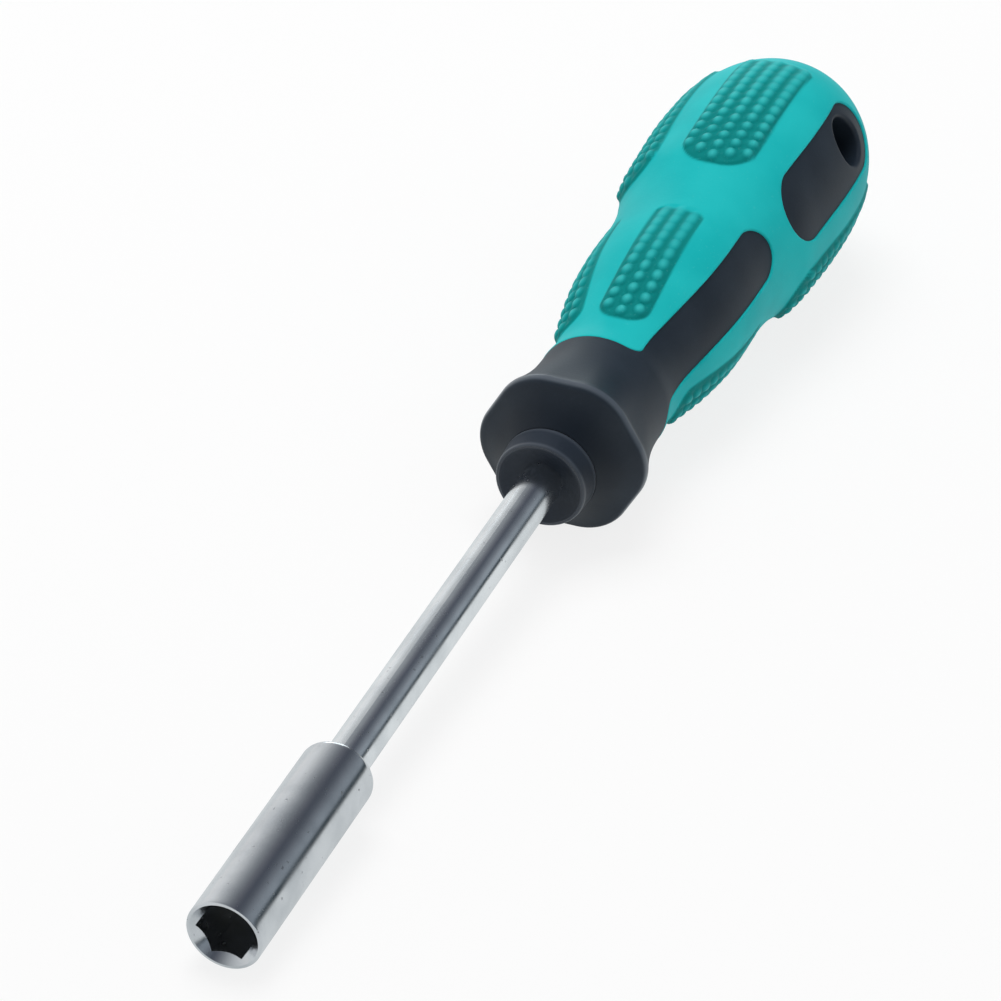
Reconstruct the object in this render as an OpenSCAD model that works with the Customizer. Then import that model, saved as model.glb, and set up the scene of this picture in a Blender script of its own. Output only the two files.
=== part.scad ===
// Bit holder screwdriver: a hexagon socket for bits on a round bar, in a moulded handle of two colours.
// The tool lies on its side. The origin is the middle of the socket's mouth, +X points out of the mouth
// and the handle lies towards -X. Stations below are distances from the mouth along the tool.

/* [Bit socket] */
// Outside diameter of the socket sleeve
sleeve_d = 9.5; // [9:0.1:12]
// Length of the socket sleeve
sleeve_l = 33; // [28:0.5:48]
// Width across the flats of the hexagon, a quarter-inch bit with its clearance
hex_af = 6.5; // [6.4:0.05:6.8]
// Depth of the hexagon
hex_depth = 14; // [10:0.5:18]
// Turn of the hexagon, from one corner straight up
hex_turn = 30; // [0:1:30]
// Wall left between the lead-in cone and the outside of the sleeve
rim_wall = 0.45; // [0.3:0.05:0.8]
// Bevel on the outer edge of the mouth
rim_bevel = 0.25; // [0.1:0.05:0.3]
// Rounding of the shoulder at the rear of the sleeve
shoulder_r = 1.2; // [0.4:0.1:1.8]

/* [Magnet] */
// Diameter of the disc magnet behind the hexagon
magnet_d = 6; // [5:0.1:6.2]
// Thickness of the disc magnet
magnet_l = 4; // [2:0.5:6]

/* [Shaft] */
// Diameter of the bar
shaft_d = 5.6; // [5:0.1:7]
// Width over the pressed wings that lock the bar in the handle
wing_w = 9; // [7:0.1:11]
// Thickness of a pressed wing
wing_t = 2.4; // [1.6:0.1:3]
// Length of a pressed wing
wing_l = 12; // [8:0.5:14]

/* [Handle] */
// Bare length of bar and sleeve in front of the nose boss
blade_l = 97.5; // [80:0.5:130]
// Length of the nose boss in front of the flange
boss_l = 4; // [2:0.1:5]
// Diameter of the nose boss at its front
boss_d = 12.4; // [11:0.1:12.6]
// Diameter of the nose boss where it meets the flange
boss_base_d = 12.8; // [12.7:0.1:15]
// Bevel on the front edge of the nose boss
boss_bevel = 0.3; // [0.2:0.1:0.6]
// Depth of the hollow round the bar in the front of the nose boss
hollow_l = 1.2; // [0.5:0.1:1.8]
// Width of the rim that the hollow leaves on the nose boss, inside its bevel
hollow_rim = 0.3; // [0.1:0.1:0.6]
// Width across the flats of the flange that stops the tool rolling
flange_af = 22.6; // [21:0.2:26]
// Rounding of the flange's corners, seen along the tool
flange_corner_r = 7.5; // [2:0.1:9]
// How far the flange's front face slopes back to its rim
flange_slope = 4.6; // [3:0.1:6]
// How far the flange's front face is dished
flange_dish = 0.4; // [0.2:0.1:0.8]
// Rounding of the flange's rim
rim_r = 1.3; // [0.5:0.1:1.6]
// Diameter of the neck behind the flange
neck_d = 17.8; // [17:0.1:20]
// Length of the neck, from the flange's rim to the soft grip
neck_l = 13.3; // [11:0.1:20]

/* [Soft grip] */
// Length of the soft grip
grip_l = 83.1; // [75:0.1:105]
// Thickness of the soft grip
grip_t = 2.2; // [1.8:0.1:2.7]
// Height of the soft grip above the neck and above the lands in its windows
grip_step = 0.3; // [0.2:0.05:0.8]
// Bevel on the front edge of the soft grip
lip_bevel = 0.2; // [0.1:0.05:0.4]
// Diameter of the front swell
belly_d = 23.8; // [22:0.1:28]
// Diameter of the waist between the swells
waist_d = 24; // [22:0.1:26]
// Diameter of the rear bulb
bulb_d = 30.4; // [28:0.1:36]
// Distance of the front swell's highest point from the front of the grip
belly_at = 26.6; // [24:0.1:30]
// Distance of the waist from the front of the grip
waist_at = 35.6; // [33:0.1:40]
// Distance of the rear bulb's shoulder from the front of the grip
bulb_at = 49.6; // [46:0.1:54]

/* [Windows] */
// Width of a front window
front_window_w = 7.8; // [6:0.1:8]
// Width that a front window flares to at the front of the grip
front_flare_w = 8.8; // [8.4:0.1:11]
// Length of the flare
front_flare_l = 8; // [6:0.5:20]
// Length of a front window
front_window_l = 36.1; // [30:0.1:38]
// Width of a rear window
rear_window_w = 9.8; // [8.6:0.1:10.2]
// Length of a rear window
rear_window_l = 30.3; // [26:0.1:31]
// Distance of a rear window from the front of the grip
rear_window_at = 41.7; // [41:0.1:45]
// Diameter of the hole for hanging the tool up
hang_d = 7.2; // [5:0.1:7.6]
// Distance of the hanging hole from the rear of its window
hang_back = 7.1; // [6:0.1:9]

/* [Nub pads] */
// Height of a pad above the grip, between its nubs
pad_rise = 0.3; // [0.2:0.05:0.5]
// Height of a nub above its pad
nub_rise = 0.45; // [0.3:0.05:0.6]
// Diameter of a nub
nub_d = 1.6; // [1.2:0.05:1.8]
// Distance between the nubs of a column
nub_pitch = 2.25; // [2:0.05:2.6]
// Distance between the columns of nubs, which are staggered by half a pitch
nub_column = 2.1; // [1.9:0.05:2.3]
// Distance of a pad's first nub from the front of the pad
nub_lead = 1.4; // [1.2:0.05:1.8]
// Width of a front pad
front_pad_w = 7.2; // [6:0.1:8]
// Rounding of a front pad's front corners
front_pad_r = 2.8; // [2:0.1:3]
// Length of a front pad
front_pad_l = 26; // [22:0.5:28]
// Distance of a front pad from the front of the grip
front_pad_at = 5.4; // [4:0.1:8]
// Width of a rear pad
rear_pad_w = 10.8; // [10:0.1:12]
// Rounding of a rear pad's front corners
rear_pad_r = 4.5; // [3.5:0.1:4.8]
// Length of a rear pad
rear_pad_l = 29; // [24:0.5:30]
// Distance of a rear pad from the front of the grip
rear_pad_at = 41.6; // [41:0.1:46]

/* [Hidden] */

$fn = 96;
window_turns = [60, 240];
pad_turns = [0, 120, 180, 300];
wing_turns = [0, 90];
rib_turns = [45, 135, 225, 315];
// Cutters reach this far past the faces that they cut
over = 1;

sleeve_r = sleeve_d / 2;
lead_r = sleeve_r - rim_wall;
lead_l = lead_r - hex_af / 2;
bar_start = hex_depth + magnet_l;

flange_z = blade_l + boss_l;
flange_flat = flange_af / 2;
flange_corner = flange_corner_r + (flange_flat - flange_corner_r) / cos(30);
// The turned rim trims the hexagon's corners by this much
rim_trim = 0.15;
rim_z = flange_z + flange_slope;
neck_r = neck_d / 2;
grip_z = rim_z + neck_l;
grip_r0 = neck_r + grip_step;
butt_z = grip_z + grip_l;
belly_z = grip_z + belly_at;
waist_z = grip_z + waist_at;
bulb_z = grip_z + bulb_at;
hang_z = grip_z + rear_window_at + rear_window_l - hang_back;

// The first shot that grips the bar, inside the dark body
core_r = wing_w / 2 + 1;
core_seat = 2.5;
core_bevel = 1;
core_end = grip_z + grip_l / 2;
rib_h = 0.8;
rib_w = 1.8;
// The ribs and the bar end this far in front of the end of the first shot
rib_back = 4;
bar_back = 6;
bar_end = core_end - bar_back;
wing_gap = 6;
wing_slope = 1.6;
bar_bevel = 0.5;
// Share of a wing's root that is sunk in the round of the bar
wing_root = 0.8;

// The butt's outline is a rounder curve than an ellipse along the tool
butt_power = 4;
butt_steps = 11;
butt_turn = 86;
swell_steps = 8;
pad_rear_r = 2.2;
arc_steps = 5;
neck_steps = 7;
dish_steps = 4;
// The hollow curve behind the flange takes up this share of the neck's length
neck_share = 0.8;

// An eased step from 0 to 1 with level ends
function ease(t) = t * t * (3 - 2 * t);

// A stretch of outline that eases from one [radius, station] to the next, without its last point
function swell(a, b) = [
    for (i = [0 : swell_steps - 1])
    let (t = i / swell_steps)
    [a[0] + (b[0] - a[0]) * ease(t), a[1] + (b[1] - a[1]) * t]
];

// Points on an arc about c, in [radius, station], where angle 0 points away from the axis
function arc(c, r, from, to) = [
    for (i = [0 : arc_steps])
    let (a = from + (to - from) * i / arc_steps)
    c + r * [cos(a), sin(a)]
];

// The rounded butt: its radius falls as a cosine while its station follows a power of the sine, and it
// ends in a small flat
function butt(r, z0, z1) = concat(
    [
        for (i = [0 : butt_steps])
        let (a = butt_turn * i / butt_steps)
        [r * cos(a), z0 + (z1 - z0) * pow(sin(a) / sin(butt_turn), 2 / butt_power)]
    ],
    [[0, z1]]
);

// The grip's outline, moved inwards by an inset
function grip_line(inset) = concat(
    swell([grip_r0 - inset, grip_z], [belly_d / 2 - inset, belly_z]),
    swell([belly_d / 2 - inset, belly_z], [waist_d / 2 - inset, waist_z]),
    swell([waist_d / 2 - inset, waist_z], [bulb_d / 2 - inset, bulb_z]),
    butt(bulb_d / 2 - inset, bulb_z, butt_z - inset)
);

// The flange's rim and the hollow curve from it down to the neck, which is part of a parabola
rim_c = [flange_corner - rim_trim - rim_r, rim_z];
rim_from = -52;
rim_to = 28;
curve_start = rim_c + rim_r * [cos(rim_to), sin(rim_to)];
curve_end = rim_z + neck_share * neck_l;
function neck_line() = [
    for (i = [1 : neck_steps])
    let (t = i / neck_steps)
    [
        neck_r + (curve_start[0] - neck_r) * pow(1 - t, 2),
        curve_start[1] + (curve_end - curve_start[1]) * t
    ]
];

// The flange's front face from the nose boss to the rim, dished as a parabola
face_start = [boss_base_d / 2, flange_z];
face_end = rim_c + rim_r * [cos(rim_from), sin(rim_from)];
function face_line() = [
    for (i = [0 : dish_steps - 1])
    let (t = i / dish_steps)
    face_start + (face_end - face_start) * t + [0, flange_dish * 4 * t * (1 - t)]
];

// Turns a shape that stands along Z, with its angles from X, into the tool that lies along X
module lay() {
    rotate([0, -90, 0]) children();
}

// Solid of revolution from its outline as [radius, station] points
module turned(points) {
    rotate_extrude() polygon(points);
}

// Pushes an outline drawn as [station, width] outwards from radius r0 to r1
module outwards(r0, r1) {
    rotate([0, -90, 180]) translate([0, 0, r0]) linear_extrude(r1 - r0) children();
}

// Slot with straight sides and round ends
module slot(start, l, w) {
    r = w / 2;
    for (x = [start + r, start + l - r]) translate([x, 0]) circle(r);
    translate([start + r, -r]) square([l - w, w]);
}

// A front window runs out over the neck, where it flares
module front_window() {
    lead = front_window_w + over;
    flare = (front_flare_w - front_window_w) / 2 / front_flare_l;
    slot(grip_z - lead, front_window_l + lead, front_window_w);
    polygon([
        for (x = [-over, front_flare_l + over])
        for (side = [-1, 1])
        let (half = front_window_w / 2 + flare * (front_flare_l - x))
        [grip_z + x, (x < 0 ? side : -side) * half]
    ]);
}

module rear_window() {
    slot(grip_z + rear_window_at, rear_window_l, rear_window_w);
}

module at_windows() {
    for (a = window_turns) rotate(a) outwards(core_r, bulb_d) {
        front_window();
        rear_window();
    }
}

// A pad's outline: wide round front corners and smaller ones at the rear
module pad_outline(start, w, l, front_r) {
    half = w / 2;
    for (side = [-1, 1]) {
        translate([start + front_r, side * (half - front_r)]) circle(front_r);
        translate([start + l - pad_rear_r, side * (half - pad_rear_r)]) circle(pad_rear_r);
    }
    polygon([
        [start + front_r, -half],
        [start + l - pad_rear_r, -half],
        [start + l, -half + pad_rear_r],
        [start + l, half - pad_rear_r],
        [start + l - pad_rear_r, half],
        [start + front_r, half],
        [start, half - front_r],
        [start, -half + front_r]
    ]);
}

// Nubs in columns beside a middle one, where each column starts half a pitch behind the one inside it
module nubs(start, w, l) {
    last = floor((w / 2 - nub_d / 2) / nub_column);
    for (column = [-last : last]) {
        lag = abs(column) * nub_pitch / 2;
        room = l - 2 * nub_lead - lag;
        for (i = [0 : floor(room / nub_pitch)])
            translate([start + nub_lead + lag + i * nub_pitch, column * nub_column]) circle(d = nub_d);
    }
}

// A pad's outline, grown by a margin
module pad(margin, start, w, l, front_r) {
    pad_outline(start - margin, w + 2 * margin, l + 2 * margin, front_r + margin);
}

// The gaps between a pad's nubs: a larger outline without its nubs
module pad_gaps(start, w, l, front_r) {
    difference() {
        pad(over, start, w, l, front_r);
        nubs(start, w, l);
    }
}

// The two pads of one turn, cut down between their nubs, from inside the grip up to the tops of the nubs
module pads_form() {
    difference() {
        intersection() {
            turned(concat([[0, grip_z]], grip_line(-pad_rise - nub_rise)));
            union() {
                outwards(grip_r0 - grip_t, bulb_d)
                    pad(0, grip_z + front_pad_at, front_pad_w, front_pad_l, front_pad_r);
                outwards(waist_d / 2 - grip_t, bulb_d)
                    pad(0, grip_z + rear_pad_at, rear_pad_w, rear_pad_l, rear_pad_r);
            }
        }
        difference() {
            union() {
                outwards(grip_r0 - grip_t, bulb_d)
                    pad_gaps(grip_z + front_pad_at, front_pad_w, front_pad_l, front_pad_r);
                outwards(waist_d / 2 - grip_t, bulb_d)
                    pad_gaps(grip_z + rear_pad_at, rear_pad_w, rear_pad_l, rear_pad_r);
            }
            turned(concat([[0, grip_z]], grip_line(-pad_rise)));
        }
    }
}

// The flange's section, a hexagon with rounded corners and one flat up
module flange_hexagon() {
    reach = (flange_flat - flange_corner_r) / cos(30);
    corners = [for (i = [0 : 5]) reach * [cos(30 + 60 * i), sin(30 + 60 * i)]];
    for (c = corners) translate(c) circle(flange_corner_r);
    polygon([
        for (i = [0 : 5])
        for (a = [60 * i, 60 * i + 60])
        corners[i] + flange_corner_r * [cos(a), sin(a)]
    ]);
}

module bit_socket() {
    round_c = [sleeve_r - shoulder_r, sleeve_l - shoulder_r];
    color("silver") lay() difference() {
        turned(concat(
            [[0, 0], [sleeve_r - rim_bevel, 0], [sleeve_r, rim_bevel]],
            arc(round_c, shoulder_r, 0, 90),
            [[0, sleeve_l]]
        ));
        turned([[0, -over], [lead_r + over, -over], [hex_af / 2, lead_l], [0, lead_l]]);
        rotate(hex_turn) translate([0, 0, -over])
            cylinder(h = hex_depth + over, d = hex_af / cos(30), $fn = 6);
        translate([0, 0, hex_depth]) cylinder(h = magnet_l, d = magnet_d);
        translate([0, 0, bar_start]) cylinder(h = sleeve_l - bar_start + over, d = shaft_d);
    }
}

module magnet() {
    color("dimgray") lay() translate([0, 0, hex_depth]) cylinder(h = magnet_l, d = magnet_d);
}

// One pressed wing of the bar, a flat blade with sloping ends
module wing(z0) {
    root = wing_root * shaft_d / 2;
    rotate([90, 0, 0]) translate([0, 0, -wing_t / 2]) linear_extrude(wing_t) polygon([
        [-root, z0],
        [root, z0],
        [wing_w / 2, z0 + wing_slope],
        [wing_w / 2, z0 + wing_l - wing_slope],
        [root, z0 + wing_l],
        [-root, z0 + wing_l],
        [-wing_w / 2, z0 + wing_l - wing_slope],
        [-wing_w / 2, z0 + wing_slope]
    ]);
}

// The bar with its wings, which both the bar and the mould round it are made from
module bar() {
    bar_r = shaft_d / 2;
    turned([
        [0, bar_start],
        [bar_r, bar_start],
        [bar_r, bar_end - bar_bevel],
        [bar_r - bar_bevel, bar_end],
        [0, bar_end]
    ]);
    for (i = [0 : len(wing_turns) - 1])
        rotate(wing_turns[i]) wing(bar_end - (i + 1) * (wing_l + wing_gap));
}

module shaft() {
    color("silver") lay() bar();
}

// Outside of the first shot: the nose boss, its seat in the flange and a ribbed stem
module core_form() {
    turned([
        [0, blade_l],
        [boss_d / 2 - boss_bevel, blade_l],
        [boss_d / 2, blade_l + boss_bevel],
        [boss_base_d / 2, flange_z],
        [boss_base_d / 2, flange_z + core_seat],
        [core_r, flange_z + core_seat],
        [core_r, core_end - core_bevel],
        [core_r - core_bevel, core_end],
        [0, core_end]
    ]);
    rib_z = flange_z + core_seat;
    for (a = rib_turns) rotate(a)
        translate([0, -rib_w / 2, rib_z])
        cube([core_r + rib_h, rib_w, core_end - rib_back - rib_z]);
}

module inner_core() {
    color("darkslategray") lay() difference() {
        core_form();
        bar();
        turned([
            [0, blade_l - over],
            [boss_d / 2 - boss_bevel - hollow_rim, blade_l - over],
            [boss_d / 2 - boss_bevel - hollow_rim, blade_l],
            [shaft_d / 2, blade_l + hollow_l],
            [0, blade_l + hollow_l]
        ]);
    }
}

// The dark body under the grip, its neck and its six-sided flange
module body_form() {
    intersection() {
        turned(concat(
            [[0, flange_z]],
            face_line(),
            arc(rim_c, rim_r, rim_from, rim_to),
            neck_line(),
            [[neck_r, grip_z]],
            grip_line(grip_t)
        ));
        union() {
            translate([0, 0, flange_z]) linear_extrude(grip_z - flange_z) flange_hexagon();
            translate([0, 0, grip_z - over]) cylinder(h = grip_l + over, d = bulb_d);
        }
    }
}

module handle_body() {
    color([0.21, 0.235, 0.28]) lay() difference() {
        union() {
            body_form();
            intersection() {
                turned(concat([[0, grip_z]], grip_line(grip_step)));
                at_windows();
            }
        }
        core_form();
        rotate(window_turns[0]) translate([0, 0, hang_z]) rotate([0, 90, 0])
            cylinder(h = 2 * bulb_d, d = hang_d, center = true);
    }
}

module soft_grip() {
    outside = grip_line(0);
    color([0.13, 0.69, 0.68]) lay() difference() {
        union() {
            turned(concat(
                [[0, grip_z], [grip_r0 - lip_bevel, grip_z], [grip_r0, grip_z + lip_bevel]],
                [for (i = [1 : len(outside) - 1]) outside[i]]
            ));
            for (a = pad_turns) rotate(a) pads_form();
        }
        turned(concat([[0, grip_z - over], [grip_r0 - grip_t, grip_z - over]], grip_line(grip_t)));
        at_windows();
    }
}

bit_socket();
magnet();
shaft();
inner_core();
handle_body();
soft_grip();
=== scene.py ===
"""Looks of a bit holder screwdriver: a chrome bit socket and bar, a dark moulded body and a teal soft grip.

Shapes are worked out in millimetres. A station is a distance from the socket's mouth along the tool, and an
angle goes round the tool from straight up towards +Y, in degrees. Meshes are written in metres.
"""
import math

import bpy
import numpy as np
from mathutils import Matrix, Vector

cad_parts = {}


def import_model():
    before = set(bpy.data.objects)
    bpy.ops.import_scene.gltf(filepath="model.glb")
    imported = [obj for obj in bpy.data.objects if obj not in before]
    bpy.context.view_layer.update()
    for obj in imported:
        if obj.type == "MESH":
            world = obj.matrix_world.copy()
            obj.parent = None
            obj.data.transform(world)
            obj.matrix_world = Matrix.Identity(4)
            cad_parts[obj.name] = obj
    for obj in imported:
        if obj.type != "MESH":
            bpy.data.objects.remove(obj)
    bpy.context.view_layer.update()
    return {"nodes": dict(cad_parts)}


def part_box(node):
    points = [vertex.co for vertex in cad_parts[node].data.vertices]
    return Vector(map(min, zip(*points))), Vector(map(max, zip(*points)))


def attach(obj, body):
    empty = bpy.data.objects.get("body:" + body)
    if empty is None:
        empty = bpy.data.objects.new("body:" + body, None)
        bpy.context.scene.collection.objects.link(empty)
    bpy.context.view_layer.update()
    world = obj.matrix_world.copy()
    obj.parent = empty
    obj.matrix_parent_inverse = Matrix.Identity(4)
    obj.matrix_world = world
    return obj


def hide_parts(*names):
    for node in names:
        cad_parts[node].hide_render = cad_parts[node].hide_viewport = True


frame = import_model()

MM = 0.001


def stations(node):
    """First and last station of a CAD node, in millimetres."""
    low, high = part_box(node)
    return -high.x / MM, -low.x / MM


# Bit socket, magnet and bar
SOCKET_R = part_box("bit_socket")[1].y / MM
SOCKET_L = stations("bit_socket")[1]
SOCKET_BEVEL = 0.25
SHOULDER_R = 1.2
MOUTH_RIM = 0.45
LEAD_R = SOCKET_R - MOUTH_RIM
HEX_FLAT = 3.25
HEX_TURN = 30.0
HEX_DEPTH, MAGNET_END = stations("magnet")
MAGNET_R = 3.0
BAR_R = 2.8
SEAT_OVERLAP = 0.1
BAR_SEAT_R = BAR_R - SEAT_OVERLAP

# Inner core: a nose boss round the bar, its seat in the flange and a ribbed stem
BOSS_Z, CORE_END = stations("inner_core")
BOSS_R = 6.2
BOSS_BASE_R = 6.4
BOSS_ROUND = 0.3
# Share of crest on the boss's rims and foot, where a highlight is painted and the coat is glossy
BOSS_HIGHLIGHT = 0.5
WALL_FRONT, WALL_FRONT_RISE = 0.8, 0.08
WALL_BACK, WALL_BACK_DROP = 1.1, 0.04
FOOT_R = 0.8
FOOT_L = 0.55
HOLLOW_R = 5.6
HOLLOW_L = 1.2
HOLLOW_POWER = 1.5
HOLLOW_ROUND = 0.15
CORE_R = 5.5
CORE_SEAT = 2.5
CORE_BEVEL = 1.0
RIB_H = 0.8
RIB_HALF = 0.9
RIB_BACK = 4.0
RIB_TURN = 45.0
EDGE_RING = 0.1

# Flange and neck of the body
FLANGE_Z = stations("handle_body")[0]
FLANGE_FLAT = 11.3
FLANGE_CORNER_R = 7.5
FLANGE_SLOPE = 4.6
FLANGE_DISH = 0.4
# Crest on the flange's face from the boss to the rim: below 0 it paints shade, deepest at the boss
FACE_SHADE_CREST = (-1.0, -0.2)
RIM_R = 1.3
RIM_INSET = 0.15
RIM_FROM = -52.0
RIM_TO = 28.0
NECK_R = 9.3
NECK_SHARE = 0.97

# Outline of the grip: stations, radii and slopes
GRIP_Z, BUTT_Z = stations("soft_grip")
GRIP_T = 2.2
LIP_Z = GRIP_Z + 0.6
LIP_STEP = 0.06
GRIP_STEP = 0.3
STEP_L = 9.0
GRIP_KNOTS = (
    (LIP_Z, NECK_R + LIP_STEP, -0.06),
    (GRIP_Z + 4.2, 9.05, 0.0),
    (GRIP_Z + 9.0, 9.6, 0.2),
    (GRIP_Z + 16.0, 11.08, 0.19),
    (GRIP_Z + 21.6, 12.0, 0.11),
    (GRIP_Z + 27.0, 12.38, 0.03),
    (GRIP_Z + 33.5, 12.46, 0.05),
    (GRIP_Z + 42.6, 13.9, 0.29),
    (GRIP_Z + 50.0, 14.72, 0.07),
    (GRIP_Z + 59.5, 15.17, 0.0),
)
BUTT_POWER = 2.6
EDGE_R = 0.25
TIP_R = 2.0

# Windows of the grip, and the hanging hole through the rear ones
WINDOW_TURN = 60.0
FRONT_WINDOW_HALF = 3.9
FRONT_WINDOW_END = GRIP_Z + 36.1
FLARE_HALF = 0.15
FLARE_L = 8.0
FLARE_MOST = 1.2
REAR_WINDOW_HALF = 5.2
REAR_WINDOW_SHIFT = 0.3
REAR_WINDOW = (GRIP_Z + 41.7, GRIP_Z + 72.0)
HANG_R = 3.6
HANG_Z = REAR_WINDOW[1] - 7.1
HANG_ROUND = 0.7
HANG_NEAR = 0.5

# Pads and their nubs
PAD_TURNS = (0.0, 120.0)
PAD_RISE = 0.3
PAD_LEVEL = 0.2
PAD_WALL = 0.45
PAD_REAR_R = 2.2
FRONT_PAD = {
    "start": GRIP_Z + 6.0, "length": 25.4, "half": 3.6, "front_r": 3.3, "sink": 0.45, "side_columns": 1,
}
REAR_PAD = {
    "start": GRIP_Z + 41.4, "length": 30.0, "half": 5.4, "front_r": 5.0, "sink": 0.15, "side_columns": 2,
}
NUB_R = 0.84
NUB_RISE = 0.5
NUB_SINK = 0.55
NUB_DOME = 0.75
NUB_STRETCH = 1.35
NUB_MERGE = 1.2
NUB_PITCH = 2.25
NUB_COLUMN = 2.1
NUB_LEAD = 1.4
TOP_POWER = 4
# Painted shade in the pads' troughs and along their walls: less on the nubs, less towards the rear, none at
# the pads' rear ends
TROUGH_SHADE_NUB = 0.6
TROUGH_SHADE_SINK = 0.2
TROUGH_SHADE_END = 1 / 16
TROUGH_SHADE_RIM = 0.3

# Spacing of the meshes, in degrees round the tool and in millimetres along it
TURN_STEP = 1.5
SOCKET_TURN_STEP = 1.25
TURN_ON_PAD, TURN_ON_EDGE, TURN_ON_LAND = 1.4, 2.0, 2.6
ROW_AT_LIP, ROW_ON_PAD, ROW_PLAIN = 0.34, 0.305, 0.6
ROW_ON_NECK, ROW_ON_LAND, ROW_AT_HOLE, ROW_AT_BUTT = 0.4, 0.5, 0.3, 0.9
POLE_ROWS, POLE_FINE_ROWS = 8, 14
MERGE = 0.0001


def ease(t):
    """An eased step from 0 to 1 with level ends: 3 t squared less 2 t cubed."""
    t = np.clip(t, 0, 1)
    return t * t * (3 - 2 * t)


def grip_line(knot_steps=100, butt_steps=600):
    """The grip's outline as stations and radii: cubic curves between knots with given slopes, then a butt
    where the square of the radius and a power of the station add up to one."""
    z, r = [], []
    for (z0, r0, slope0), (z1, r1, slope1) in zip(GRIP_KNOTS[:-1], GRIP_KNOTS[1:]):
        t = np.linspace(0, 1, knot_steps, endpoint=False)
        bend = (z1 - z0) * t * (1 - t) * (slope0 * (1 - t) - slope1 * t)
        z.append(z0 + (z1 - z0) * t)
        r.append(r0 + (r1 - r0) * ease(t) + bend)
    t = 1 - (1 - np.linspace(0, 1, butt_steps)) ** 2
    z.append(z1 + (BUTT_Z - z1) * t)
    r.append(r1 * np.sqrt(np.clip(1 - t ** BUTT_POWER, 0, 1)))
    return np.concatenate(z), np.concatenate(r)


LINE_Z, LINE_R = grip_line()
LINE_S = np.concatenate([[0], np.cumsum(np.hypot(np.diff(LINE_Z), np.diff(LINE_R)))])
LINE_TILT = np.arctan2(np.gradient(LINE_R, LINE_S), np.gradient(LINE_Z, LINE_S))


def grip_radius(z):
    """Radius of the grip's outline at a station."""
    return np.interp(z, LINE_Z, LINE_R)


def grip_step(z):
    """Height of the grip above the lands, which eases up from almost nothing at the neck."""
    return LIP_STEP + (GRIP_STEP - LIP_STEP) * ease((z - LIP_Z) / STEP_L)


def lay(z, r, a):
    """Points of the tool, in millimetres, from stations, radii and angles."""
    z, r, a = np.broadcast_arrays(z, r, np.radians(a))
    return np.stack([-z, r * np.sin(a), r * np.cos(a)], -1)


def grip_point(z, a, height):
    """Points at a height above the grip's outline, along the normal of the outline."""
    tilt = np.interp(z, LINE_Z, LINE_TILT)
    return lay(z - height * np.sin(tilt), grip_radius(z) + height * np.cos(tilt), a)


def spaced(*marks, samples=4001):
    """Positions from the first mark to the last. A mark is a place and the spacing there, which runs in
    straight lines between marks: the positions are where the summed inverse of the spacing is whole."""
    places, steps = zip(*marks)
    fine = np.linspace(places[0], places[-1], samples)
    rate = 1 / np.interp(fine, places, steps)
    count = np.concatenate([[0], np.cumsum((rate[1:] + rate[:-1]) / 2 * np.diff(fine))])
    return np.interp(np.linspace(0, count[-1], round(count[-1]) + 1), count, fine)


def nearest_turn(a, centres, period):
    """Angle from the nearest of some centres that repeat with a period."""
    turns = np.stack([(a - c + period / 2) % period - period / 2 for c in centres])
    pick = np.argmin(np.abs(turns), 0)
    return np.take_along_axis(turns, pick[None], 0)[0]


def sideways(z, a, centres):
    """Distance across the grip from the nearest of some lines along it, which repeat at half a turn: the
    radius times the sine of the angle from the line."""
    return grip_radius(z) * np.sin(np.radians(nearest_turn(a, centres, 180)))


def window_side(z, a):
    """Signed distance to the grip's edge, above 0 on the grip: the lesser of the distances to the two
    windows, which are slots, and to the front of the grip, with the tips between them rounded."""
    y = sideways(z, a, [WINDOW_TURN])
    flare = FLARE_HALF * np.clip((LIP_Z + FLARE_L - z) / FLARE_L, 0, FLARE_MOST)
    end = FRONT_WINDOW_END - FRONT_WINDOW_HALF
    front = np.hypot(np.maximum(z - end, 0), y) - FRONT_WINDOW_HALF - flare
    low, high = REAR_WINDOW[0] + REAR_WINDOW_HALF, REAR_WINDOW[1] - REAR_WINDOW_HALF
    beyond = np.maximum(z - high, 0) + np.maximum(low - z, 0)
    rear = np.hypot(beyond, y - REAR_WINDOW_SHIFT) - REAR_WINDOW_HALF
    side = np.minimum(front, rear)
    lip = z - LIP_Z
    tip = TIP_R - np.hypot(np.maximum(TIP_R - side, 0), np.maximum(TIP_R - lip, 0))
    return np.where((side < TIP_R) & (lip < TIP_R), tip, np.minimum(side, lip))


def hole_side(z, a):
    """Distance from the wall of the hanging hole, above 0 outside it."""
    return np.hypot(z - HANG_Z, sideways(z, a, [WINDOW_TURN])) - HANG_R


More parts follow.
